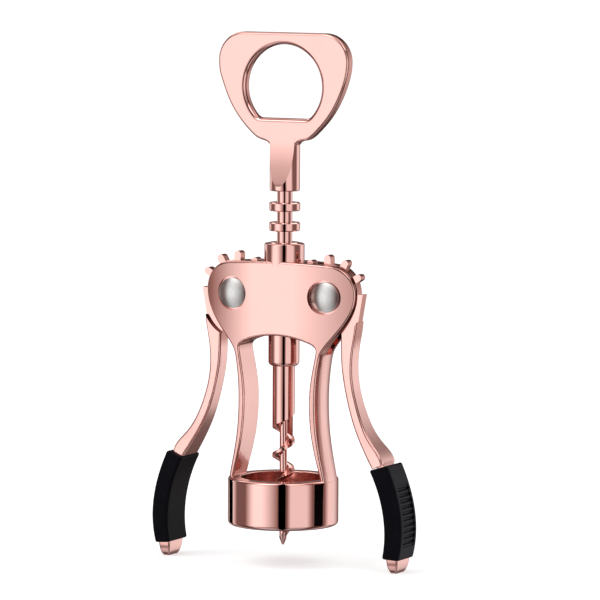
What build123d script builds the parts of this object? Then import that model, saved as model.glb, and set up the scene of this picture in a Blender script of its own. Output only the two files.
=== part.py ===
from build123d import *
import math
import os

os.makedirs("parts", exist_ok=True)

# A winged corkscrew in millimetres. The origin is the centre of the bell's mouth,
# +Z runs up the screw's axis and the front of the frame faces -Y.
# The levers hang down and the rack stands at the top of its travel.

# Bell that sits on the bottle
bell_radius = 18.9
bell_height = 16.4
bell_wall_thickness = 2.9
bell_stop_width = 1.5
bell_stop_thickness = 3.0
bell_mouth_rounding = 1.5
bell_top_rounding = 1.0
bell_inner_rounding = 0.4

# Rack and gears, which set how far the pivots stand from the axis
gear_teeth_per_turn = 12
rack_pitch = 6.78
rack_ring_thickness = 2.95
rack_ring_radius = 5.3
rack_core_radius = 2.635
rack_ring_chamfer = 0.35
rack_ring_count = 6
rack_pitch_line_inset = 0.75
rack_gap_below_pivot = 0.6

# Frame plates, collar and pivots
pivot_height = 78.8
plate_side_margin = 10.6
plate_top_margin = 10.8
plate_corner_radius = 9.6
plate_crown_angle = 5.0
plate_foot_height = 56.5
plate_centre_half_depth = 6.75
plate_face_radius = 103.0
plate_edge_rounding = 0.75
collar_proud = 0.1
collar_rise = 6.7
collar_rounding = 0.5
arch_height = 65.1
arch_drop = 2.1
arch_corner_width = 2.9
arch_corner_height = 3.0
bore_clearance = 0.4
slot_half_width = 1.95
slot_end_height = 59.0

# Legs from the plates down to the bell
leg_waist_outer = 14.4
leg_waist_height = 43.0
leg_thickness = 2.15
leg_top_outer = 15.6
leg_top_slope = 0.16
leg_landing_height = 11.5
leg_proud = 0.2

# Pivot pins
pin_radius = 2.6
pin_head_radius = 5.2
pin_head_rim = 1.1
pin_head_dome = 1.15
pin_recess_radius = 5.85
pin_recess_depth = 0.45
pin_fit_clearance = 0.06
pin_seat_clearance = 0.02

# Levers, measured from their pivots
gear_thickness = 3.4
gear_tip_radius = 14.2
gear_root_radius = 11.2
gear_tooth_width = 2.4
gear_tooth_angle = 2.1
gear_first_tooth = -1
gear_last_tooth = 5
gear_tip_clearance = 0.5
hub_shoulder_radius = 13.0
hub_shoulder_start_angle = 6.0
hub_shoulder_foot_reach = 11.2
hub_shoulder_foot_drop = 8.8
lever_reach = 30.1
lever_drop = 92.3
arm_depth = 6.3
arm_end_depth = 11.2
arm_rounding = 0.75
arm_shoulder_radius = 14.4
arm_shoulder_offset = 1.7
tang_depth = 8.0
tang_rounding = 0.6
tip_depth = 10.2

# Grips over the lower half of each lever
grip_inner_depth = 15.0
grip_outer_depth = 12.4
grip_rounding = 1.1
grip_end_rounding = 0.7
grip_rib_count = 10
grip_groove_radius = 0.62
grip_panel_depth = 0.3
grip_side_margin = 2.0
grip_fit_clearance = 0.02

# Opener head with its neck
head_height = 38.0
head_half_width = 24.6
head_thickness = 4.2
head_corner_radius = 9.6
head_edge_rounding = 0.9
neck_radius = 5.15
neck_length = 15.7
neck_land_height = 1.7
neck_scoop_rise = 4.5
neck_end_rounding = 0.5
opening_top_wall = 4.0
opening_corner_radius = 3.0
opening_edge_rounding = 1.5

# Spindle, worm holder and worm
spindle_radius = 1.6
spindle_fit_clearance = 0.06
spindle_end_clearance = 0.1
spindle_end_below_head = 3.7
spindle_depth_in_holder = 7.0
holder_radius = 5.3
holder_bottom_height = 54.4
holder_bottom_rounding = 1.5
holder_top_rounding = 0.4
worm_radius = 3.82
worm_core_radius = 1.3
worm_pitch = 10.07
worm_blade_edge = 1.0
worm_blade_root = 2.7
worm_shank_height = 38.1
worm_runout_angle = 60.0
worm_tip_depth = 7.1
worm_point_length = 8.2
worm_point_radius = 0.35
worm_depth_in_holder = 6.0
press_fit_clearance = 0.02

# One overrun serves every cut
overrun = 2.0

# Shares that place the points of the outlines on the sizes above
plate_side_shares = [(0.85, 0.69), (0.44, 0.39), (0.10, 0.165)]
leg_lower_shares = [(0.14, 0.34), (0.58, 0.66), (0.87, 0.83)]
head_side_shares = [(1.0, 0.735), (0.963, 0.59), (0.846, 0.40), (0.687, 0.237), (0.508, 0.113), (0.35, 0.045)]

arm_inner_shares = [
    (0.150, 0.100),
    (0.178, 0.172),
    (0.181, 0.222),
    (0.200, 0.287),
    (0.246, 0.361),
    (0.326, 0.447),
    (0.455, 0.535),
    (0.612, 0.619),
]
arm_outer_shares = [
    (0.362, 0.048),
    (0.357, 0.133),
    (0.326, 0.195),
    (0.317, 0.278),
    (0.355, 0.356),
    (0.440, 0.441),
    (0.581, 0.523),
    (0.740, 0.599),
]
arm_depth_shares = [0.0, 0.0, 0.0, 0.0, 0.03, 0.20, 0.60, 1.0]
grip_inner_shares = [(0.600, 0.622), (0.716, 0.710), (0.787, 0.826), (0.764, 0.944)]
grip_outer_shares = [(0.812, 0.601), (0.930, 0.699), (1.0, 0.822), (0.957, 0.950)]
opening_size_share = 0.2284
opening_chord_share = 0.748
tang_edge_share = 0.26
tip_shares = [(0.0, 1.0, 1.0), (0.42, 0.9, 0.94), (0.78, 0.68, 0.82), (1.0, 0.42, 0.64)]
rib_first_share = 0.27
rib_last_share = 0.82
rib_panel_over_share = 0.045
worm_runout_share = 0.98

# Sizes that follow from the ones above
bell_mouth_radius = bell_radius - bell_wall_thickness
bell_stop_bore_radius = bell_mouth_radius - bell_stop_width
gear_pitch_radius = gear_teeth_per_turn * rack_pitch / (2 * math.pi)
collar_radius = plate_centre_half_depth + collar_proud
pivot_x = gear_pitch_radius + rack_ring_radius - rack_pitch_line_inset
plate_half_width = pivot_x + plate_side_margin
plate_top = pivot_height + plate_top_margin
collar_top = plate_top + collar_rise
bore_radius = rack_ring_radius + bore_clearance
rack_gap = rack_pitch - rack_ring_thickness
mesh_height = pivot_height - rack_gap_below_pivot
rings_below = 1
rings_above = rack_ring_count - rings_below
neck_bottom = mesh_height + rings_above * rack_pitch + rack_gap / 2
head_base_height = neck_bottom + neck_length
spindle_depth_in_neck = neck_length - spindle_end_below_head
opening_radius = opening_size_share * (head_height + head_half_width)
opening_chord_drop = opening_chord_share * opening_radius
holder_top = mesh_height - rings_below * rack_pitch - rack_gap / 2
leg_waist_inner = leg_waist_outer - leg_thickness
leg_top_inner = leg_top_outer - leg_thickness / 2
leg_foot_outer = bell_radius + leg_proud


def lens(height_from, height_to):
    """The body whose front and back faces bulge about a vertical axis."""
    shift = plate_face_radius - plate_centre_half_depth
    height = height_to - height_from
    bottom = (Align.CENTER, Align.CENTER, Align.MIN)
    front = Pos(0, shift, height_from) * Cylinder(plate_face_radius, height, align=bottom)
    back = Pos(0, -shift, height_from) * Cylinder(plate_face_radius, height, align=bottom)
    return front & back


def lens_half_depth(x):
    """Half the depth of the frame at a distance from its axis."""
    return plate_centre_half_depth - plate_face_radius + math.sqrt(plate_face_radius**2 - x**2)


def across_plane():
    """The sketch plane whose x is +X, whose y is +Z and whose normal faces -Y."""
    return Plane(origin=(0, 0, 0), x_dir=(1, 0, 0), z_dir=(0, -1, 0))


def slab(face, thickness):
    """Extrudes a face drawn in X and Z evenly to the front and the back."""
    return extrude(across_plane() * face, thickness / 2, both=True)


def share_points(shares, x_from, x_to, z_from, z_to):
    """Places a table of shares between two pairs of named sizes."""
    return [
        (x_from + across * (x_to - x_from), z_from + up * (z_to - z_from))
        for across, up in shares
    ]


def mirrored(points):
    return [(-x, z) for x, z in points]


def disc_y(radius, y_from, y_to, x, z):
    """A round bar along Y."""
    bar = Cylinder(radius, y_to - y_from, align=(Align.CENTER, Align.CENTER, Align.MIN))
    return Pos(x, y_from, z) * Rot(-90, 0, 0) * bar


def turned(x):
    """How far from the axis the front corner of a leg or plate is when it lies at x."""
    return math.hypot(x, lens_half_depth(x))


# Frame: the outer faces of plates and legs are turned, so that they flow into the bell
widest_height = plate_top - plate_corner_radius
side_points = share_points(
    plate_side_shares, leg_top_outer, plate_half_width, plate_foot_height, widest_height
)
foot_tangent = (-leg_top_slope, -1)
plate_reach = turned(plate_half_width)
corner_start = plate_reach - plate_corner_radius
corner_end_angle = 90 - plate_crown_angle
crown_start = (
    corner_start + plate_corner_radius * math.cos(math.radians(corner_end_angle)),
    widest_height + plate_corner_radius * math.sin(math.radians(corner_end_angle)),
)
crown_radius = crown_start[0] / math.sin(math.radians(plate_crown_angle))
crown_centre = crown_start[1] - crown_radius * math.cos(math.radians(plate_crown_angle))
crown_height = crown_centre + crown_radius
turned_outline = make_face(
    [
        Line((0, 0), (leg_foot_outer, 0)),
        Line((leg_foot_outer, 0), (leg_foot_outer, leg_landing_height)),
        Spline(
            [(turned(leg_waist_outer), leg_waist_height)]
            + share_points(
                leg_lower_shares,
                turned(leg_waist_outer),
                leg_foot_outer,
                leg_waist_height,
                leg_landing_height,
            )
            + [(leg_foot_outer, leg_landing_height)],
            tangents=[(0, -1), (0, -1)],
        ),
        Spline(
            (turned(leg_top_outer), plate_foot_height),
            (turned(leg_waist_outer), leg_waist_height),
            tangents=[foot_tangent, (0, -1)],
        ),
        Spline(
            [(plate_reach, widest_height)]
            + [(turned(x), z) for x, z in side_points]
            + [(turned(leg_top_outer), plate_foot_height)],
            tangents=[(0, -1), foot_tangent],
        ),
        CenterArc((corner_start, widest_height), plate_corner_radius, 0, corner_end_angle),
        CenterArc((0, crown_centre), crown_radius, corner_end_angle, plate_crown_angle),
        Line((0, crown_height), (0, 0)),
    ]
)
plates = revolve(Plane.XZ * turned_outline, Axis.Z) & lens(bell_mouth_rounding, crown_height + overrun)

# Frame: the window between the legs, under the arch
lower_points = share_points(
    leg_lower_shares, leg_waist_outer, leg_foot_outer, leg_waist_height, leg_landing_height
)
leg_foot_inner = leg_foot_outer - leg_thickness
arch_corner = (leg_top_inner - arch_corner_width, arch_height - arch_drop)
arch_foot = (leg_top_inner, arch_height - arch_drop - arch_corner_height)
arch_slope = 2 * arch_drop / (leg_top_inner - arch_corner_width)
window_side = [
    Line((leg_foot_inner, -overrun), (leg_foot_inner, leg_landing_height)),
    Spline(
        [(leg_waist_inner, leg_waist_height)]
        + [(x - leg_thickness, z) for x, z in lower_points]
        + [(leg_foot_inner, leg_landing_height)],
        tangents=[(0, -1), (0, -1)],
    ),
    Spline(arch_foot, (leg_waist_inner, leg_waist_height), tangents=[foot_tangent, (0, -1)]),
    Spline(arch_corner, arch_foot, tangents=[(1, -arch_slope), foot_tangent]),
]
window = make_face(
    window_side
    + [mirror(curve, about=Plane.YZ) for curve in window_side]
    + [
        Line((-leg_foot_inner, -overrun), (leg_foot_inner, -overrun)),
        ThreePointArc((-arch_corner[0], arch_corner[1]), (0, arch_height), arch_corner),
    ]
)
plates = plates - slab(window, 4 * plate_centre_half_depth)
rim_edges = [
    edge
    for edge in plates.edges()
    if abs(edge.position_at(1 / 2).Y) > slot_half_width
    and edge.position_at(1 / 2).Z > bell_mouth_rounding + overrun / 2
    and edge.length > plate_centre_half_depth / 3
    and abs(abs(edge.position_at(1 / 2).Y) - lens_half_depth(edge.position_at(1 / 2).X))
    < plate_edge_rounding / 5
]
plates = fillet(rim_edges, plate_edge_rounding)

# Frame: bell, collar, slot for the gears, bore for the rack and pin recesses
pin_face_half_depth = lens_half_depth(pivot_x + pin_recess_radius)
pin_seat_half_depth = pin_face_half_depth - pin_recess_depth
bell_profile = make_face(
    Polyline(
        (bell_stop_bore_radius, bell_height),
        (bell_radius, bell_height),
        (bell_radius, 0),
        (bell_mouth_radius, 0),
        (bell_mouth_radius, bell_height - bell_stop_thickness),
        (bell_stop_bore_radius, bell_height - bell_stop_thickness),
        close=True,
    )
)
bell = revolve(Plane.XZ * bell_profile, Axis.Z)
bell_rings = bell.edges().filter_by(GeomType.CIRCLE)
bell_foot_ring = bell_rings.group_by(Axis.Z)[0].sort_by(SortBy.RADIUS)[-1]
bell = fillet(bell_foot_ring, bell_mouth_rounding)
bell_rings = bell.edges().filter_by(GeomType.CIRCLE)
bell_brow_ring = bell_rings.group_by(Axis.Z)[-1].sort_by(SortBy.RADIUS)[-1]
bell = fillet(bell_brow_ring, bell_top_rounding)
bell_rings = bell.edges().filter_by(GeomType.CIRCLE)
bell_lip_ring = bell_rings.group_by(Axis.Z)[-1].sort_by(SortBy.RADIUS)[0]
bell = fillet(bell_lip_ring, bell_inner_rounding)

collar = Pos(0, 0, plate_top - plate_edge_rounding) * Cylinder(
    collar_radius,
    plate_edge_rounding + collar_rise,
    align=(Align.CENTER, Align.CENTER, Align.MIN),
)
collar = fillet(collar.edges().group_by(Axis.Z)[-1], collar_rounding)

slot_radius = gear_tip_radius + gear_tip_clearance
slot = disc_y(slot_radius, -slot_half_width, slot_half_width, pivot_x, pivot_height)
slot_side = Pos(pivot_x, 0, slot_end_height) * Box(
    plate_half_width,
    2 * slot_half_width,
    plate_top + overrun - slot_end_height,
    align=(Align.MIN, Align.CENTER, Align.MIN),
)
slot_foot_x = leg_top_outer - leg_thickness / 6
slot_foot = Pos(slot_foot_x, 0, slot_end_height) * Box(
    plate_half_width,
    2 * slot_half_width,
    pivot_height - slot_end_height,
    align=(Align.MIN, Align.CENTER, Align.MIN),
)
slot = slot + slot_side + slot_foot
bore = Pos(0, 0, arch_height - plate_corner_radius) * Cylinder(
    bore_radius,
    collar_top - arch_height + plate_corner_radius + overrun,
    align=(Align.CENTER, Align.CENTER, Align.MIN),
)

frame_body = plates + (collar + bell)
frame_body = frame_body - slot - mirror(slot, about=Plane.YZ) - bore
for side in (1, -1):
    x = side * pivot_x
    frame_body -= disc_y(
        pin_recess_radius, pin_seat_half_depth, plate_centre_half_depth + overrun, x, pivot_height
    )
    frame_body -= disc_y(
        pin_recess_radius, -plate_centre_half_depth - overrun, -pin_seat_half_depth, x, pivot_height
    )
    frame_body -= disc_y(
        pin_radius + pin_seat_clearance,
        -plate_centre_half_depth,
        plate_centre_half_depth,
        x,
        pivot_height,
    )

# Pivot pin: a rivet with a domed head on each side, seated in the recesses
head_seat = pin_seat_half_depth + pin_seat_clearance
head_end = head_seat + pin_head_rim + pin_head_dome
dome_radius = (pin_head_radius**2 + pin_head_dome**2) / (2 * pin_head_dome)
pin_head = Pos(0, 0, head_seat) * Cylinder(
    pin_head_radius, head_end - head_seat, align=(Align.CENTER, Align.CENTER, Align.MIN)
)
pin_head = pin_head & Pos(0, 0, head_end - dome_radius) * Sphere(dome_radius)
pin = Cylinder(pin_radius, 2 * (head_seat + pin_head_rim)) + pin_head + Rot(180, 0, 0) * pin_head
pin = Rot(90, 0, 0) * pin
right_pin = Pos(pivot_x, 0, pivot_height) * pin
left_pin = Pos(-pivot_x, 0, pivot_height) * pin

# Lever: gear sector with round-nosed teeth
gear_disc = Circle(gear_root_radius)
for index in range(gear_first_tooth, gear_last_tooth + 1):
    angle = 180 + gear_tooth_angle - index * 360 / gear_teeth_per_turn
    straight = gear_tip_radius - gear_tooth_width / 2
    tooth = Pos(straight / 2, 0) * Rectangle(straight, gear_tooth_width)
    tooth += Pos(straight, 0) * Circle(gear_tooth_width / 2)
    gear_disc += Rot(0, 0, angle) * tooth
shoulder_start = (
    hub_shoulder_radius * math.cos(math.radians(hub_shoulder_start_angle)),
    hub_shoulder_radius * math.sin(math.radians(hub_shoulder_start_angle)),
)
shoulder = make_face(
    Polyline(
        (0, 0),
        shoulder_start,
        (hub_shoulder_foot_reach, -hub_shoulder_foot_drop),
        (0, -hub_shoulder_foot_drop),
        close=True,
    )
)
gear_disc += shoulder

# Lever: the arm's edges and its sections, from the gear down to the grip
arm_inner = [(x * lever_reach, -z * lever_drop) for x, z in arm_inner_shares]
arm_outer = [(x * lever_reach, -z * lever_drop) for x, z in arm_outer_shares]
grip_inner = [(x * lever_reach, -z * lever_drop) for x, z in grip_inner_shares]
grip_outer = [(x * lever_reach, -z * lever_drop) for x, z in grip_outer_shares]


def between(first, second, part):
    """The point that lies a given part of the way from the first to the second."""
    return (first[0] + part * (second[0] - first[0]), first[1] + part * (second[1] - first[1]))


def section(inner, outer, inner_depth, outer_depth, rounding):
    """A four-sided section with round corners, across the lever at one station."""
    width = math.dist(inner, outer)
    shape = Polygon(
        (-width / 2, -inner_depth / 2),
        (width / 2, -outer_depth / 2),
        (width / 2, outer_depth / 2),
        (-width / 2, inner_depth / 2),
        align=None,
    )
    shape = fillet(shape.vertices(), rounding)
    middle = between(inner, outer, 1 / 2)
    across = Vector(outer[0] - inner[0], 0, outer[1] - inner[1]).normalized()
    plane = Plane(
        origin=(middle[0], 0, middle[1]),
        x_dir=across,
        z_dir=across.cross(Vector(0, 1, 0)),
    )
    return plane * shape


arm_sections = [
    section(
        inner,
        outer,
        arm_depth + share * (arm_end_depth - arm_depth),
        arm_depth + share * (arm_end_depth - arm_depth),
        arm_rounding,
    )
    for inner, outer, share in zip(arm_inner, arm_outer, arm_depth_shares)
]
arm = loft(arm_sections)
web_face = make_face(
    [
        Spline(arm_inner[:4]),
        Line(arm_inner[3], arm_outer[3]),
        Spline(arm_outer[3::-1]),
        Line(arm_outer[0], arm_inner[0]),
    ]
)
shoulder_cut = disc_y(
    arm_shoulder_radius, -arm_end_depth, arm_end_depth, -arm_shoulder_offset, -arm_shoulder_offset
)
arm = arm - shoulder_cut
gear = slab(gear_disc + web_face, gear_thickness)

# Lever: the tang inside the grip and the tip that shows below it
tip_top_inner = between(grip_inner[-1], grip_outer[-1], tang_edge_share / 2)
tip_top_outer = between(grip_inner[-1], grip_outer[-1], 1 - tang_edge_share / 2)
tip_middle = between(tip_top_inner, tip_top_outer, 1 / 2)
tip_half_width = math.dist(tip_top_inner, tip_top_outer) / 2
tip_end = (tip_middle[0], -lever_drop)
tip_sections = []
for down, across, deep in tip_shares:
    row_middle = between(tip_middle, tip_end, down)
    row_inner = between(tip_top_inner, (tip_end[0] - tip_half_width, tip_end[1]), down)
    row_outer = between(tip_top_outer, (tip_end[0] + tip_half_width, tip_end[1]), down)
    tip_sections.append(
        section(
            between(row_middle, row_inner, across),
            between(row_middle, row_outer, across),
            tip_depth * deep,
            tip_depth * deep,
            tang_rounding * across,
        )
    )
tip = loft(tip_sections)
tip_core = between(tip_middle, tip_end, 1 / 2)
tang_inner = [arm_inner[-2]] + grip_inner + [(tip_core[0] - tip_half_width, tip_core[1])]
tang_outer = [arm_outer[-2]] + grip_outer + [(tip_core[0] + tip_half_width, tip_core[1])]
tang_depths = [arm_depth] + [tang_depth] * len(grip_inner) + [tang_depth / 2]
tang = loft(
    [
        section(
            between(inner, outer, tang_edge_share),
            between(inner, outer, 1 - tang_edge_share),
            depth,
            depth,
            tang_rounding,
        )
        for inner, outer, depth in zip(tang_inner, tang_outer, tang_depths)
    ]
)
lever = gear + arm + tang + tip
lever -= disc_y(pin_radius + pin_fit_clearance, -arm_depth, arm_depth, 0, 0)

# Grip: a tapered sleeve whose outer face has a sunk panel with round cross grooves
grip = loft(
    [
        section(inner, outer, grip_inner_depth, grip_outer_depth, grip_rounding)
        for inner, outer in zip(grip_inner, grip_outer)
    ]
)
grip_cavity = loft(
    [
        section(
            between(inner, outer, tang_edge_share - grip_fit_clearance / math.dist(inner, outer)),
            between(inner, outer, 1 - tang_edge_share + grip_fit_clearance / math.dist(inner, outer)),
            depth + 2 * grip_fit_clearance,
            depth + 2 * grip_fit_clearance,
            tang_rounding,
        )
        for inner, outer, depth in zip(tang_inner, tang_outer, tang_depths)
    ]
)
grip = fillet(grip.faces().sort_by(Axis.Z)[0].outer_wire().edges(), grip_end_rounding)
grip = fillet(grip.faces().sort_by(Axis.Z)[-1].outer_wire().edges(), grip_end_rounding)
outer_edge = Spline([(x, 0, z) for x, z in grip_outer])
grip = grip - grip_cavity
panel_width = grip_outer_depth - 2 * grip_side_margin
panel_edge = outer_edge.trim(
    rib_first_share - rib_panel_over_share, rib_last_share + rib_panel_over_share
)
panel_plane = Plane(
    origin=panel_edge.position_at(0), x_dir=Vector(0, 1, 0), z_dir=panel_edge.tangent_at(0)
)
panel = sweep(panel_plane * Rectangle(panel_width, 2 * grip_panel_depth), path=panel_edge)
grip -= panel
groove = Cylinder(grip_groove_radius, panel_width)
groove += Pos(0, 0, panel_width / 2) * Sphere(grip_groove_radius)
groove += Pos(0, 0, -panel_width / 2) * Sphere(grip_groove_radius)
for index in range(grip_rib_count):
    place = rib_first_share + (rib_last_share - rib_first_share) * index / (grip_rib_count - 1)
    plane = Plane(
        origin=outer_edge.position_at(place),
        x_dir=outer_edge.tangent_at(place),
        z_dir=Vector(0, 1, 0),
    )
    grip -= plane * Pos(0, grip_panel_depth, 0) * groove

right_lever = Pos(pivot_x, 0, pivot_height) * lever
right_grip = Pos(pivot_x, 0, pivot_height) * grip
left_lever = mirror(right_lever, about=Plane.YZ)
left_grip = mirror(right_grip, about=Plane.YZ)

# Rack: a sleeve with square rings that turns freely on the spindle
sleeve_bottom = holder_top + spindle_end_clearance
sleeve_top = neck_bottom - spindle_end_clearance
rack = Pos(0, 0, sleeve_bottom) * Cylinder(
    rack_core_radius, sleeve_top - sleeve_bottom, align=(Align.CENTER, Align.CENTER, Align.MIN)
)
ring = Cylinder(rack_ring_radius, rack_ring_thickness)
ring = chamfer(ring.edges().filter_by(GeomType.CIRCLE), rack_ring_chamfer)
for index in range(rack_ring_count):
    height = mesh_height + (index - rings_below + 1 / 2) * rack_pitch
    rack += Pos(0, 0, height) * ring
rack -= Pos(0, 0, sleeve_bottom - overrun) * Cylinder(
    spindle_radius + spindle_fit_clearance,
    sleeve_top - sleeve_bottom + 2 * overrun,
    align=(Align.CENTER, Align.CENTER, Align.MIN),
)

# Head: a rounded triangular plate on a round neck, with a D-shaped opening
head_top = head_base_height + head_height
head_side = share_points(head_side_shares, 0, head_half_width, head_base_height, head_top)
head_corner_start = head_half_width - head_corner_radius
head_outline = make_face(
    [
        Line((-head_corner_start, head_top), (head_corner_start, head_top)),
        CenterArc((head_corner_start, head_top - head_corner_radius), head_corner_radius, 90, -90),
        Spline(
            [(head_half_width, head_top - head_corner_radius)]
            + head_side[1:]
            + [(neck_radius, head_base_height)],
            tangents=[(0, -1), (-1 / 2, -1)],
        ),
        Line((neck_radius, head_base_height), (-neck_radius, head_base_height)),
        Spline(
            [(-neck_radius, head_base_height)]
            + mirrored(head_side[:0:-1])
            + [(-head_half_width, head_top - head_corner_radius)],
            tangents=[(-1 / 2, 1), (0, 1)],
        ),
        CenterArc((-head_corner_start, head_top - head_corner_radius), head_corner_radius, 180, -90),
    ]
)
head_plate = slab(head_outline, head_thickness)
head_rim = [
    edge
    for edge in head_plate.edges()
    if abs(abs(edge.center().Y) - head_thickness / 2) < head_edge_rounding / 4
    and edge.center().Z > head_base_height + head_edge_rounding
]
head_plate = fillet(head_rim, head_edge_rounding)
opening_centre = head_top - opening_top_wall - opening_radius
opening_face = Pos(0, opening_centre) * Circle(opening_radius)
opening_face &= Pos(0, opening_centre - opening_chord_drop) * Rectangle(
    head_half_width * 2, head_height, align=(Align.CENTER, Align.MIN)
)
opening_face = fillet(opening_face.vertices(), opening_corner_radius)
head_plate -= slab(opening_face, head_thickness + 2 * overrun)
opening_rim = [
    edge
    for edge in head_plate.edges()
    if abs(abs(edge.center().Y) - head_thickness / 2) < head_edge_rounding / 4
    and math.dist((edge.center().X, edge.center().Z), (0, opening_centre)) < opening_radius
]
head_plate = fillet(opening_rim, opening_edge_rounding)

neck_top = head_base_height + neck_scoop_rise
neck = Pos(0, 0, neck_bottom) * Cylinder(
    neck_radius, neck_top - neck_bottom, align=(Align.CENTER, Align.CENTER, Align.MIN)
)
neck = fillet(neck.edges().group_by(Axis.Z)[0], neck_end_rounding)
scoop_low = neck_bottom + neck_land_height
scoop_length = neck_top - scoop_low
scoop_depth = neck_radius - head_thickness / 2
scoop_radius = (scoop_length**2 + scoop_depth**2) / (2 * scoop_depth)
scoop = Pos(0, head_thickness / 2 + scoop_radius, neck_top) * Rot(0, 90, 0) * Cylinder(
    scoop_radius, 4 * neck_radius
)
neck = neck - scoop - mirror(scoop, about=Plane.XZ)
opener_head = head_plate + neck
opener_head -= Pos(0, 0, neck_bottom - overrun) * Cylinder(
    spindle_radius + press_fit_clearance,
    spindle_depth_in_neck + overrun,
    align=(Align.CENTER, Align.CENTER, Align.MIN),
)

# Spindle: the steel rod that carries the rack between the neck and the worm holder
spindle_bottom = holder_top - spindle_depth_in_holder
spindle_top = neck_bottom + spindle_depth_in_neck - press_fit_clearance
spindle = Pos(0, 0, spindle_bottom + press_fit_clearance) * Cylinder(
    spindle_radius,
    spindle_top - spindle_bottom - press_fit_clearance,
    align=(Align.CENTER, Align.CENTER, Align.MIN),
)

# Worm holder: pressed on the spindle above and on the worm's shank below
holder = Pos(0, 0, holder_bottom_height) * Cylinder(
    holder_radius, holder_top - holder_bottom_height, align=(Align.CENTER, Align.CENTER, Align.MIN)
)
holder = fillet(holder.edges().group_by(Axis.Z)[0], holder_bottom_rounding)
holder = fillet(holder.edges().group_by(Axis.Z)[-1], holder_top_rounding)
holder -= Pos(0, 0, spindle_bottom) * Cylinder(
    spindle_radius + press_fit_clearance,
    spindle_depth_in_holder + overrun,
    align=(Align.CENTER, Align.CENTER, Align.MIN),
)
holder -= Pos(0, 0, holder_bottom_height - overrun) * Cylinder(
    worm_radius + press_fit_clearance,
    worm_depth_in_holder + overrun,
    align=(Align.CENTER, Align.CENTER, Align.MIN),
)

# Worm: a round shank that runs out into a slim core with one helical blade
worm_top = holder_bottom_height + worm_depth_in_holder - press_fit_clearance
worm_envelope = revolve(
    Plane.XZ
    * make_face(
        Polyline(
            (0, -worm_tip_depth),
            (worm_point_radius, -worm_tip_depth),
            (worm_radius, -worm_tip_depth + worm_point_length),
            (worm_radius, worm_top),
            (0, worm_top),
            close=True,
        )
    ),
    Axis.Z,
)
blade_turns = math.ceil((worm_shank_height + worm_tip_depth) / worm_pitch)
blade_start = worm_shank_height - blade_turns * worm_pitch
blade_reach = worm_radius - worm_core_radius
blade_over = overrun / 2
blade_slope = (worm_blade_root - worm_blade_edge) / 2 / blade_reach
blade_sink = worm_core_radius / 2
blade_profile = Polygon(
    (-blade_reach - blade_sink, -worm_blade_root / 2 - blade_slope * blade_sink),
    (blade_over, -worm_blade_edge / 2 + blade_slope * blade_over),
    (blade_over, worm_blade_edge / 2 - blade_slope * blade_over),
    (-blade_reach - blade_sink, worm_blade_root / 2 + blade_slope * blade_sink),
    align=None,
)
radial_plane = Plane(origin=(worm_radius, 0, 0), x_dir=(1, 0, 0), z_dir=(0, -1, 0))
blade = sweep(
    radial_plane * blade_profile,
    path=Helix(worm_pitch, blade_turns * worm_pitch, worm_radius),
    is_frenet=True,
)
blade = Pos(0, 0, blade_start) * blade & worm_envelope
runout_height = worm_pitch * worm_runout_share
runout_profile = Polygon(
    (-worm_radius + blade_sink, -worm_blade_edge / 2),
    (blade_over, -worm_blade_edge / 2),
    (blade_over, runout_height),
    (-worm_radius + blade_sink, runout_height),
    align=None,
)
runout = sweep(
    radial_plane * runout_profile,
    path=Helix(worm_pitch, worm_pitch, worm_radius),
    is_frenet=True,
)
runout_start = worm_shank_height - worm_pitch * (1 - worm_runout_angle / 360)
runout = Pos(0, 0, runout_start) * Rot(0, 0, worm_runout_angle) * runout & worm_envelope
shank_bottom = runout_start + runout_height - worm_blade_edge / 2
shank = Pos(0, 0, shank_bottom) * Cylinder(
    worm_radius, worm_top - shank_bottom, align=(Align.CENTER, Align.CENTER, Align.MIN)
)
worm_core = Pos(0, 0, -worm_tip_depth) * Cylinder(
    worm_core_radius,
    shank_bottom + worm_tip_depth + overrun,
    align=(Align.CENTER, Align.CENTER, Align.MIN),
)
worm_core = worm_core & worm_envelope
worm = (worm_core + blade) + (shank + runout)

# Writing every piece
pieces = {
    "frame_body": frame_body,
    "right_pivot_pin": right_pin,
    "left_pivot_pin": left_pin,
    "right_lever": right_lever,
    "left_lever": left_lever,
    "right_grip": right_grip,
    "left_grip": left_grip,
    "rack": rack,
    "opener_head": opener_head,
    "spindle": spindle,
    "worm_holder": holder,
    "worm": worm,
}
for name, piece in pieces.items():
    export_step(piece, os.path.join("parts", name + ".step"))
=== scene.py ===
import math

import bmesh
import bpy
from mathutils import Matrix, Vector

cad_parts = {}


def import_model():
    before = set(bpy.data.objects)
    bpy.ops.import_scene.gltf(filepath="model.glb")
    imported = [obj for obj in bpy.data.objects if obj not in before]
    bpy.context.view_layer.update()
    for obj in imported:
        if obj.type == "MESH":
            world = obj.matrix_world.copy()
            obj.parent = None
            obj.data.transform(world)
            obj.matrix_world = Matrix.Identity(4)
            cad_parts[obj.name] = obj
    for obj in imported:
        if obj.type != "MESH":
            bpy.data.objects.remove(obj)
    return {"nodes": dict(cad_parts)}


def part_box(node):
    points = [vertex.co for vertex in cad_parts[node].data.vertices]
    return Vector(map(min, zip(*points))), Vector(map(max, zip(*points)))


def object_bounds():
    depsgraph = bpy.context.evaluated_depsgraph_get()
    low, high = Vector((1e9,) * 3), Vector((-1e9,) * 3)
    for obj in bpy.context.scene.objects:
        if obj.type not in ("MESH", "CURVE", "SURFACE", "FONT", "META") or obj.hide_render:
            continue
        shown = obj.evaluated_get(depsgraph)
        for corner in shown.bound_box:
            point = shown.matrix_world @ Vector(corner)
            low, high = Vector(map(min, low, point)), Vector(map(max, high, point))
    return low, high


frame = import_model()
cad_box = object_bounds()
scene = bpy.context.scene
cad_nodes = frame["nodes"]

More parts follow.
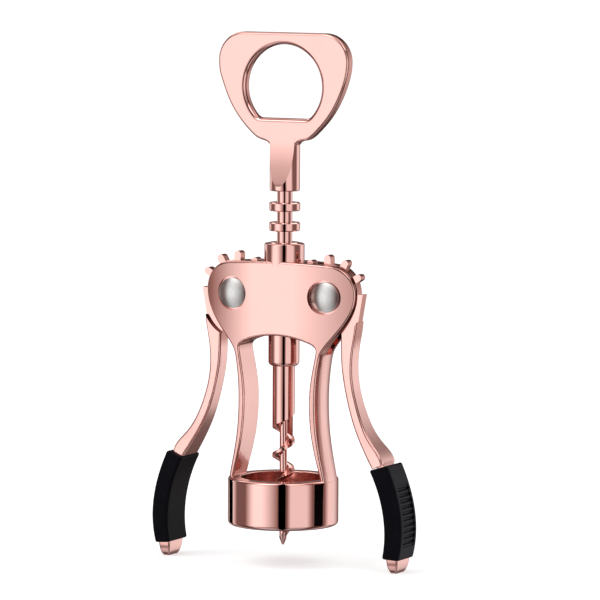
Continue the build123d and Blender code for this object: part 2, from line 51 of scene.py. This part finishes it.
# Camera, with the long lens and the low three-quarter angle of the photograph
CAMERA_AZIMUTH = math.radians(26.7)
CAMERA_ELEVATION = math.radians(5.5)
CAMERA_ROLL = math.radians(0.3)
CAMERA_DISTANCE = 1.598
CAMERA_TARGET = Vector((0, 0, 0.0768))
CAMERA_LENS = 282
CAMERA_SENSOR = 36
CAMERA_SHIFT = 0.0263
CAMERA_NEAREST = 0.05
CAMERA_FURTHEST = 60

# Places on the tool in metres, the pivots and the bell's radius from the CAD pieces
pin_low, pin_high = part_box("right_pivot_pin")
PIVOT_X = (pin_low.x + pin_high.x) / 2
PIVOT_Z = (pin_low.z + pin_high.z) / 2
body_low, body_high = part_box("frame_body")
BELL_RADIUS = (body_high.y - body_low.y) / 2
BELL_TOP = 0.016
PLATE_FOOT = 0.058
COLLAR_FOOT = 0.088
HEAD_FOOT = 0.130

# Soft steps between one finish and the next, each from its start to its end in metres.
# These four are heights.
BELL_TOP_STEP = (BELL_TOP, BELL_TOP + 0.002)
PLATE_FOOT_STEP = (PLATE_FOOT - 0.004, PLATE_FOOT)
COLLAR_FOOT_STEP = (COLLAR_FOOT - 0.001, COLLAR_FOOT)
HEAD_FOOT_STEP = (HEAD_FOOT, HEAD_FOOT + 0.003)
# These three are distances from the long axis.
BELL_WALL_STEP = (BELL_RADIUS - 0.0012, BELL_RADIUS - 0.0006)
WORM_STEP = (0.0055, 0.0065)
COLLAR_SIDE_STEP = (0.0080, 0.0085)
# These two are distances from a pivot.
RECESS_STEP = (0.0065, 0.0070)
HUB_STEP = (0.017, 0.020)

# How much a face looks to the front or back, from a side wall to a flat face
CAST_WALL_STEP = (0.35, 0.7)
SHEARED_WALL_STEP = (0.25, 0.6)
# How much a grip's face looks away from the tool, from a groove to the side with the painted sheen
SIDE_SHEEN_STEP = (0.75, 0.93)

# Colours of the finishes, each a darker and a lighter tone that a pattern passes between
ROSE_GOLD = ((0.795, 0.466, 0.420), (0.812, 0.484, 0.440))
STEEL_GREY = ((0.63, 0.63, 0.625), (0.67, 0.67, 0.665))
RUBBER_BLACK = ((0.0030, 0.0027, 0.0042), (0.0044, 0.0040, 0.0060))
# Single tones painted in as shade and sheen: painted shade on the walls round the hubs and on the
# head's sheared edges, and a painted sheen on the grips' outer sides
HUB_WALL_SHADE_ROSE = (0.46, 0.205, 0.170)
SHEARED_EDGE_SHADE = (0.50, 0.240, 0.205)
SIDE_SHEEN_GREY = (0.018, 0.017, 0.021)

# Roughness at the two ends of a pattern, and what a duller finish adds to it
POLISHED_ROUGHNESS = (0.02, 0.045)
STEEL_ROUGHNESS = (0.29, 0.31)
RUBBER_ROUGHNESS = (0.30, 0.38)
SATIN_ADDED = 0.13
SHEARED_ADDED = 0.08

# Noise patterns run from one of these values to the other over most of a surface
PATTERN_LOW = 0.3
PATTERN_HIGH = 0.7

# Places of the colour sockets among those of a Mix node
MIX_FIRST = 6
MIX_SECOND = 7
MIX_RESULT = 2

# Noise patterns, each with its cycles per metre and its number of finer levels. The haze
# also has the strength of those levels.
CLOUD = (70, 3)
HAZE = (240, 4, 0.6)
RIPPLE = (420, 1)
FLOW_LINES = (620, 1)
STEEL_RINGS = (1500, 2)
RUBBER_CLOUD = (180, 3)
RUBBER_GRAIN = (3200, 2)
# Heights of their relief in metres, and how far the flow lines are drawn out
RIPPLE_HEIGHT = 0.000002
FLOW_LINE_HEIGHT = 0.000045
RUBBER_GRAIN_HEIGHT = 0.00002
FLOW_LINE_STRETCH = 0.05

# How strongly the steel smears its highlights, and how much half of a rivet's head leans
# for each metre from its axis
STEEL_SMEAR = 0.85
STEEL_LEAN_PER_METRE = 26
# How little the soft rubber mirrors
RUBBER_IOR = 1.15
RUBBER_SPECULAR = 0.22

# Floor
FLOOR_RADIUS = 14
FLOOR_SIDES = 96
FLOOR_GREY = 0.82
FLOOR_GLOW = 0.38

# Soft boxes round the object. Start and end are degrees round from the camera, positive to
# its right, then come the widths of the two soft edges in degrees, and the brightness.
SOFT_BOXES = {
    "back_left": (-150, -126, 12, 14, 0.36),
    "left": (-64, -46, 22, 38, 0.62),
    "right": (16, 50, 8, 14, 0.42),
    "back_right": (110, 130, 14, 28, 0.44),
}
# The black flag in front of the camera takes all the light of its own band, and so it
# draws the dark line down every round piece
BLACK_FLAG = (-9, 4, 3, 3, 1)
WALL_BRIGHTNESS = 0.12
STUDIO_STRENGTH = 2.0
STUDIO_RADIUS = 6
STUDIO_SIDES = 64
STUDIO_RINGS = 32

# Dim walls are a little warmer than bright ones
WALL_TONES = [
    (0.0, (0.0, 0.0, 0.0)),
    (0.2, (0.2, 0.14, 0.13)),
    (0.5, (0.5, 0.5, 0.5)),
    (1.0, (1.0, 1.0, 1.0)),
]

# Brightness from straight down to straight up: floor, gap, walls, dark gap and top light
HEIGHT_TONES = [
    (0.0, (0.40, 0.45, 0.55)),
    (0.25, (0.50, 0.50, 0.50)),
    (0.31, (0.58, 0.56, 0.55)),
    (0.33, (0.30, 0.26, 0.25)),
    (0.36, (0.30, 0.26, 0.25)),
    (0.38, (0.90, 0.88, 0.87)),
    (0.46, (1.0, 1.0, 1.0)),
    (0.52, (1.0, 1.0, 1.0)),
    (0.60, (0.60, 0.57, 0.56)),
    (0.655, (0.48, 0.44, 0.43)),
    (0.67, (0.12, 0.09, 0.08)),
    (0.685, (1.20, 1.18, 1.17)),
    (0.71, (1.90, 1.88, 1.87)),
    (1.0, (1.20, 1.20, 1.20)),
]

# Lamps, each with its place in metres and its power in watts
LAMPS = {
    "key_light": ((-0.9, -1.1, 1.5), 11),
    "fill_light": ((1.4, -0.7, 0.9), 4),
}
LAMP_SIZE = 1.2
WORLD_BRIGHTNESS = 0.85
WHITE = (1, 1, 1, 1)


def place_camera():
    """Puts the camera at the photograph's viewing angle and frames the tool as it does."""
    towards_camera = Vector((
        math.sin(CAMERA_AZIMUTH) * math.cos(CAMERA_ELEVATION),
        -math.cos(CAMERA_AZIMUTH) * math.cos(CAMERA_ELEVATION),
        math.sin(CAMERA_ELEVATION),
    ))
    data = bpy.data.cameras.new("camera")
    data.sensor_width = CAMERA_SENSOR
    data.lens = CAMERA_LENS
    data.shift_x = CAMERA_SHIFT
    data.clip_start = CAMERA_NEAREST
    data.clip_end = CAMERA_FURTHEST
    camera = bpy.data.objects.new("camera", data)
    camera.location = CAMERA_TARGET + towards_camera * CAMERA_DISTANCE
    looking = (-towards_camera).to_track_quat("-Z", "Y").to_matrix()
    camera.rotation_euler = (looking @ Matrix.Rotation(CAMERA_ROLL, 3, "Z")).to_euler()
    scene.collection.objects.link(camera)
    scene.camera = camera


def new_material(name):
    """A material with an empty node tree apart from its output."""
    material = bpy.data.materials.new(name)
    material.use_nodes = True
    tree = material.node_tree
    tree.nodes.clear()
    output = tree.nodes.new("ShaderNodeOutputMaterial")
    return material, tree, output


def principled(tree, output):
    """The shader of a solid surface."""
    shader = tree.nodes.new("ShaderNodeBsdfPrincipled")
    tree.links.new(shader.outputs[0], output.inputs["Surface"])
    return shader


def object_point(tree):
    """The place of a point in the piece's own frame, in metres."""
    return tree.nodes.new("ShaderNodeTexCoord").outputs["Object"]


def object_facing(tree):
    """The direction that a face looks in, in the piece's own frame."""
    return tree.nodes.new("ShaderNodeTexCoord").outputs["Normal"]


def math_node(tree, operation, first, second=None):
    """A math node whose inputs are sockets or plain numbers."""
    node = tree.nodes.new("ShaderNodeMath")
    node.operation = operation
    for index, value in enumerate((first, second)):
        if value is None:
            continue
        if isinstance(value, (int, float)):
            node.inputs[index].default_value = value
        else:
            tree.links.new(value, node.inputs[index])
    return node.outputs[0]


def product(tree, *values):
    """Everything given, multiplied together."""
    result = values[0]
    for value in values[1:]:
        result = math_node(tree, "MULTIPLY", result, value)
    return result


def split_vector(tree, vector):
    """The parts of a vector, found by the names X, Y and Z."""
    node = tree.nodes.new("ShaderNodeSeparateXYZ")
    tree.links.new(vector, node.inputs[0])
    return node.outputs


def join_vector(tree, parts):
    """A vector from sockets found by the names X, Y and Z, and zero for the rest."""
    node = tree.nodes.new("ShaderNodeCombineXYZ")
    for axis, part in parts.items():
        tree.links.new(part, node.inputs[axis])
    return node.outputs[0]


def length_of(tree, vector):
    """The length of a vector."""
    node = tree.nodes.new("ShaderNodeVectorMath")
    node.operation = "LENGTH"
    tree.links.new(vector, node.inputs[0])
    return node.outputs["Value"]


def remap(tree, value, low, high, to_low, to_high):
    """Stretches one range of values to another, and stops at its ends."""
    node = tree.nodes.new("ShaderNodeMapRange")
    tree.links.new(value, node.inputs["Value"])
    for name, number in (
        ("From Min", low),
        ("From Max", high),
        ("To Min", to_low),
        ("To Max", to_high),
    ):
        node.inputs[name].default_value = number
    return node.outputs["Result"]


def beyond(tree, value, step):
    """0 before a step, and 1 past it."""
    return remap(tree, value, *step, 0, 1)


def before(tree, value, step):
    """1 before a step, and 0 past it."""
    return remap(tree, value, *step, 1, 0)


def noise(tree, point, scale, detail, roughness=0.5):
    """A cloudy pattern in space."""
    node = tree.nodes.new("ShaderNodeTexNoise")
    node.inputs["Scale"].default_value = scale
    node.inputs["Detail"].default_value = detail
    node.inputs["Roughness"].default_value = roughness
    tree.links.new(point, node.inputs["Vector"])
    return node.outputs["Fac"]


def spread(tree, pattern, ends):
    """A number that follows a noise pattern from one value to another."""
    return remap(tree, pattern, PATTERN_LOW, PATTERN_HIGH, *ends)


def ramp(tree, value, stops):
    """A colour ramp from (place, colour) stops."""
    node = tree.nodes.new("ShaderNodeValToRGB")
    elements = node.color_ramp.elements
    while len(elements) < len(stops):
        elements.new(0.5)
    for element, (place, colour) in zip(elements, stops):
        element.position = place
        element.color = (*colour, 1)
    tree.links.new(value, node.inputs["Fac"])
    return node.outputs["Color"]


def spread_colour(tree, pattern, tones):
    """A colour that follows a noise pattern from a darker tone to a lighter one."""
    darker, lighter = tones
    return ramp(tree, pattern, [(PATTERN_LOW, darker), (PATTERN_HIGH, lighter)])


def recoloured(tree, share, colour, other):
    """Passes from a colour socket to a plain colour as the share goes from 0 to 1."""
    node = tree.nodes.new("ShaderNodeMix")
    node.data_type = "RGBA"
    node.inputs[MIX_SECOND].default_value = (*other, 1)
    tree.links.new(share, node.inputs["Factor"])
    tree.links.new(colour, node.inputs[MIX_FIRST])
    return node.outputs[MIX_RESULT]


def bump(tree, height, distance, under=None):
    """Small relief, on top of another relief if there is one."""
    node = tree.nodes.new("ShaderNodeBump")
    node.inputs["Distance"].default_value = distance
    tree.links.new(height, node.inputs["Height"])
    if under is not None:
        tree.links.new(under, node.inputs["Normal"])
    return node.outputs["Normal"]


def plated_colour(tree, point):
    """Rose gold with soft clouds."""
    return spread_colour(tree, noise(tree, point, *CLOUD), ROSE_GOLD)


def plated_polish(tree, point):
    """Roughness of the polished plating, with a little haze."""
    return spread(tree, noise(tree, point, *HAZE), POLISHED_ROUGHNESS)


def plated_ripple(tree, point):
    """The faint unevenness that polishing leaves."""
    return bump(tree, noise(tree, point, *RIPPLE), RIPPLE_HEIGHT)


def rose_gold_plate():
    """Polished rose-gold plating on a die casting."""
    material, tree, output = new_material("rose_gold_plate")
    shader = principled(tree, output)
    shader.inputs["Metallic"].default_value = 1.0
    point = object_point(tree)
    place = split_vector(tree, point)
    facing = split_vector(tree, object_facing(tree))
    wall = before(tree, math_node(tree, "ABSOLUTE", facing["Y"]), CAST_WALL_STEP)

    # The buffing wheel leaves the side walls, the legs and the inside of the bell duller
    above_bell = beyond(tree, place["Z"], BELL_TOP_STEP)
    among_legs = product(tree, above_bell, before(tree, place["Z"], PLATE_FOOT_STEP))
    reach = length_of(tree, join_vector(tree, {"X": place["X"], "Y": place["Y"]}))
    inside_wall = before(tree, reach, BELL_WALL_STEP)
    in_bell = product(tree, inside_wall, math_node(tree, "SUBTRACT", 1, above_bell))
    side_wall = product(tree, wall, before(tree, place["Z"], COLLAR_FOOT_STEP), above_bell)
    hidden = math_node(tree, "MAXIMUM", math_node(tree, "MAXIMUM", among_legs, in_bell), side_wall)
    off_worm = beyond(tree, reach, WORM_STEP)
    satin = product(tree, hidden, off_worm, SATIN_ADDED)
    roughness = math_node(tree, "ADD", plated_polish(tree, point), satin)
    tree.links.new(roughness, shader.inputs["Roughness"])

    # Painted shade: the teeth and the walls round the hubs are painted a darker, deeper rose where
    # they lie between the parts
    sideways = math_node(tree, "ABSOLUTE", place["X"])
    from_hub = length_of(tree, join_vector(tree, {
        "X": math_node(tree, "SUBTRACT", sideways, PIVOT_X),
        "Z": math_node(tree, "SUBTRACT", place["Z"], PIVOT_Z),
    }))
    round_hub = product(
        tree,
        before(tree, from_hub, HUB_STEP),
        beyond(tree, from_hub, RECESS_STEP),
        beyond(tree, sideways, COLLAR_SIDE_STEP),
    )
    hub_wall_shade = product(tree, wall, round_hub)
    # Painted shade on the teeth and the walls round the hubs
    colour = recoloured(tree, hub_wall_shade, plated_colour(tree, point), HUB_WALL_SHADE_ROSE)
    tree.links.new(colour, shader.inputs["Base Color"])

    # Faint flow lines run down the legs
    stretched = tree.nodes.new("ShaderNodeVectorMath")
    stretched.operation = "MULTIPLY"
    stretched.inputs[1].default_value = (1, 1, FLOW_LINE_STRETCH)
    tree.links.new(point, stretched.inputs[0])
    flow_lines = product(tree, noise(tree, stretched.outputs[0], *FLOW_LINES), among_legs)
    relief = bump(tree, flow_lines, FLOW_LINE_HEIGHT, under=plated_ripple(tree, point))
    tree.links.new(relief, shader.inputs["Normal"])
    return material


def head_plate():
    """The same plating on the stamped head, with painted shade on its sheared edges, which are
    also duller.
    """
    material, tree, output = new_material("head_plate")
    shader = principled(tree, output)
    shader.inputs["Metallic"].default_value = 1.0
    point = object_point(tree)
    facing = split_vector(tree, object_facing(tree))
    wall = before(tree, math_node(tree, "ABSOLUTE", facing["Y"]), SHEARED_WALL_STEP)
    above_neck = beyond(tree, split_vector(tree, point)["Z"], HEAD_FOOT_STEP)
    shaded_dull_edge = product(tree, wall, above_neck)
    # Painted shade darkens the sheared side edges; the added roughness below is real dulling
    colour = recoloured(tree, shaded_dull_edge, plated_colour(tree, point), SHEARED_EDGE_SHADE)
    tree.links.new(colour, shader.inputs["Base Color"])
    dulled = product(tree, shaded_dull_edge, SHEARED_ADDED)
    roughness = math_node(tree, "ADD", plated_polish(tree, point), dulled)
    tree.links.new(roughness, shader.inputs["Roughness"])
    tree.links.new(plated_ripple(tree, point), shader.inputs["Normal"])
    return material


def satin_steel():
    """Brushed stainless steel, which smears its highlights up and down."""
    material, tree, output = new_material("satin_steel")
    shader = principled(tree, output)
    shader.inputs["Metallic"].default_value = 1.0
    shader.inputs["Anisotropic"].default_value = STEEL_SMEAR
    upright = tree.nodes.new("ShaderNodeCombineXYZ")
    upright.inputs["Z"].default_value = 1
    tree.links.new(upright.outputs[0], shader.inputs["Tangent"])

    # Places on each rivet's head are taken from its own axis
    place = split_vector(tree, object_point(tree))
    side = math_node(tree, "SIGN", place["X"])
    across = math_node(tree, "SUBTRACT", place["X"], product(tree, side, PIVOT_X))
    up = math_node(tree, "SUBTRACT", place["Z"], PIVOT_Z)

    # The half of each head towards -X leans over, and mirrors what is darker on that side
    lean = tree.nodes.new("ShaderNodeVectorMath")
    lean.operation = "SCALE"
    lean.inputs["Scale"].default_value = STEEL_LEAN_PER_METRE
    left_half = math_node(tree, "MINIMUM", across, 0)
    tree.links.new(join_vector(tree, {"X": left_half}), lean.inputs[0])
    leaning = tree.nodes.new("ShaderNodeVectorMath")
    leaning.operation = "ADD"
    surface = tree.nodes.new("ShaderNodeNewGeometry")
    tree.links.new(surface.outputs["Normal"], leaning.inputs[0])
    tree.links.new(lean.outputs[0], leaning.inputs[1])
    facing = tree.nodes.new("ShaderNodeVectorMath")
    facing.operation = "NORMALIZE"
    tree.links.new(leaning.outputs[0], facing.inputs[0])
    tree.links.new(facing.outputs[0], shader.inputs["Normal"])

    # Faint rings round the axis, too fine to see one by one, vary its tone and its polish
    rings = tree.nodes.new("ShaderNodeTexNoise")
    rings.noise_dimensions = "1D"
    scale, detail = STEEL_RINGS
    rings.inputs["Scale"].default_value = scale
    rings.inputs["Detail"].default_value = detail
    radius = length_of(tree, join_vector(tree, {"X": across, "Z": up}))
    tree.links.new(radius, rings.inputs["W"])
    grain = rings.outputs["Fac"]
    tree.links.new(spread_colour(tree, grain, STEEL_GREY), shader.inputs["Base Color"])
    tree.links.new(spread(tree, grain, STEEL_ROUGHNESS), shader.inputs["Roughness"])
    return material


def soft_grip_rubber():
    """Matt black soft-touch rubber with a fine moulded grain, and a painted sheen on its outer
    side.
    """
    material, tree, output = new_material("soft_grip_rubber")
    shader = principled(tree, output)
    shader.inputs["IOR"].default_value = RUBBER_IOR
    shader.inputs["Specular IOR Level"].default_value = RUBBER_SPECULAR
    point = object_point(tree)
    black = spread_colour(tree, noise(tree, point, *RUBBER_CLOUD), RUBBER_BLACK)
    # Painted sheen: the outer side is painted a lighter grey, over the crowns of the ribs but not
    # in the grooves
    facing = split_vector(tree, object_facing(tree))
    side = math_node(tree, "SIGN", split_vector(tree, point)["X"])
    side_sheen = beyond(tree, product(tree, facing["X"], side), SIDE_SHEEN_STEP)
    tree.links.new(recoloured(tree, side_sheen, black, SIDE_SHEEN_GREY), shader.inputs["Base Color"])
    grain = noise(tree, point, *RUBBER_GRAIN)
    tree.links.new(spread(tree, grain, RUBBER_ROUGHNESS), shader.inputs["Roughness"])
    tree.links.new(bump(tree, grain, RUBBER_GRAIN_HEIGHT), shader.inputs["Normal"])
    return material


def finish_pieces():
    """Gives every CAD node its finish."""
    plate = rose_gold_plate()
    stamped = head_plate()
    steel = satin_steel()
    rubber = soft_grip_rubber()
    finishes = {
        "frame_body": plate,
        "right_lever": plate,
        "left_lever": plate,
        "rack": plate,
        "opener_head": stamped,
        "worm_holder": plate,
        "worm": plate,
        "spindle": steel,
        "right_pivot_pin": steel,
        "left_pivot_pin": steel,
        "right_grip": rubber,
        "left_grip": rubber,
    }
    for name, finish in finishes.items():
        for slot in cad_nodes[name].material_slots:
            slot.material = finish


def stage_object(name, shape, material):
    """An object of the stage, which isn't part of the tool."""
    data = bpy.data.meshes.new(name)
    shape.to_mesh(data)
    shape.free()
    data.materials.append(material)
    item = bpy.data.objects.new(name, data)
    scene.collection.objects.link(item)
    return item


def pale_floor():
    """Pale floor that is white to the camera where no shadow falls."""
    material, tree, output = new_material("pale_floor")
    diffuse = tree.nodes.new("ShaderNodeBsdfDiffuse")
    diffuse.inputs["Color"].default_value = (FLOOR_GREY, FLOOR_GREY, FLOOR_GREY, 1)
    glow = tree.nodes.new("ShaderNodeEmission")
    glow.inputs["Color"].default_value = WHITE
    path = tree.nodes.new("ShaderNodeLightPath")
    strength = product(tree, path.outputs["Is Camera Ray"], FLOOR_GLOW)
    tree.links.new(strength, glow.inputs["Strength"])
    both = tree.nodes.new("ShaderNodeAddShader")
    tree.links.new(diffuse.outputs[0], both.inputs[0])
    tree.links.new(glow.outputs[0], both.inputs[1])
    tree.links.new(both.outputs[0], output.inputs["Surface"])
    return material


def lay_floor():
    """Lays the floor at the level of the lever tips, the lowest points of the tool."""
    shape = bmesh.new()
    bmesh.ops.create_circle(shape, cap_ends=True, segments=FLOOR_SIDES, radius=FLOOR_RADIUS)
    floor = stage_object("floor", shape, pale_floor())
    floor.location.z = cad_box[0].z
    floor.visible_glossy = False


def studio_walls():
    """Soft boxes and a flag of a product studio, as brightness round the object."""
    material, tree, output = new_material("studio_walls")
    point = object_point(tree)
    place = split_vector(tree, point)
    forward = product(tree, place["Y"], -1)
    angle = math_node(tree, "ARCTAN2", place["X"], forward)

    def panel(start, end, rising_edge, falling_edge, brightness):
        """A band between two angles that fades out over its edges."""
        rising = (math.radians(start - rising_edge), math.radians(start))
        falling = (math.radians(end), math.radians(end + falling_edge))
        return product(tree, beyond(tree, angle, rising), before(tree, angle, falling), brightness)

    level = WALL_BRIGHTNESS
    for box in SOFT_BOXES.values():
        level = math_node(tree, "ADD", level, panel(*box))
    unflagged = math_node(tree, "SUBTRACT", 1, panel(*BLACK_FLAG))
    walls = ramp(tree, product(tree, level, unflagged), WALL_TONES)

    sine = math_node(tree, "DIVIDE", place["Z"], length_of(tree, point))
    rise = math_node(tree, "ARCSINE", sine)
    height = remap(tree, rise, math.radians(-90), math.radians(90), 0, 1)
    shade = ramp(tree, height, HEIGHT_TONES)
    shaded = tree.nodes.new("ShaderNodeMix")
    shaded.data_type = "RGBA"
    shaded.blend_type = "MULTIPLY"
    shaded.inputs["Factor"].default_value = 1.0
    tree.links.new(walls, shaded.inputs[MIX_FIRST])
    tree.links.new(shade, shaded.inputs[MIX_SECOND])

    glow = tree.nodes.new("ShaderNodeEmission")
    glow.inputs["Strength"].default_value = STUDIO_STRENGTH
    tree.links.new(shaded.outputs[MIX_RESULT], glow.inputs["Color"])
    tree.links.new(glow.outputs[0], output.inputs["Surface"])
    return material


def build_studio():
    """Studio walls that only the reflections see, turned to face the camera."""
    shape = bmesh.new()
    bmesh.ops.create_uvsphere(
        shape, u_segments=STUDIO_SIDES, v_segments=STUDIO_RINGS, radius=STUDIO_RADIUS
    )
    bmesh.ops.reverse_faces(shape, faces=shape.faces)
    studio = stage_object("studio_walls", shape, studio_walls())
    studio.rotation_euler.z = CAMERA_AZIMUTH
    studio.visible_camera = False
    studio.visible_diffuse = False
    studio.visible_shadow = False
    studio.visible_transmission = False
    studio.visible_volume_scatter = False


def background(tree, strength):
    """A white background of one strength."""
    node = tree.nodes.new("ShaderNodeBackground")
    node.inputs["Color"].default_value = WHITE
    node.inputs["Strength"].default_value = strength
    return node.outputs[0]


def light_world():
    """Soft even light, and a white background that reflections and clear parts also see."""
    world = bpy.data.worlds.new("world")
    world.use_nodes = True
    tree = world.node_tree
    tree.nodes.clear()
    output = tree.nodes.new("ShaderNodeOutputWorld")
    path = tree.nodes.new("ShaderNodeLightPath").outputs
    seen = math_node(tree, "MAXIMUM", path["Is Camera Ray"], path["Is Glossy Ray"])
    seen = math_node(tree, "MAXIMUM", seen, path["Is Transmission Ray"])
    choice = tree.nodes.new("ShaderNodeMixShader")
    tree.links.new(seen, choice.inputs[0])
    tree.links.new(background(tree, WORLD_BRIGHTNESS), choice.inputs[1])
    tree.links.new(background(tree, 1.0), choice.inputs[2])
    tree.links.new(choice.outputs[0], output.inputs["Surface"])
    scene.world = world


def hang_lamp(name, place, power):
    """A square lamp that faces the object and that mirrors don't show."""
    lamp = bpy.data.lights.new(name, "AREA")
    lamp.size = LAMP_SIZE
    lamp.energy = power
    item = bpy.data.objects.new(name, lamp)
    item.location = place
    aim = CAMERA_TARGET - Vector(place)
    item.rotation_euler = aim.to_track_quat("-Z", "Y").to_euler()
    item.visible_glossy = False
    item.visible_camera = False
    scene.collection.objects.link(item)


place_camera()
finish_pieces()
lay_floor()
build_studio()
light_world()
for name, (place, power) in LAMPS.items():
    hang_lamp(name, place, power)

scene.view_settings.view_transform = "Standard"
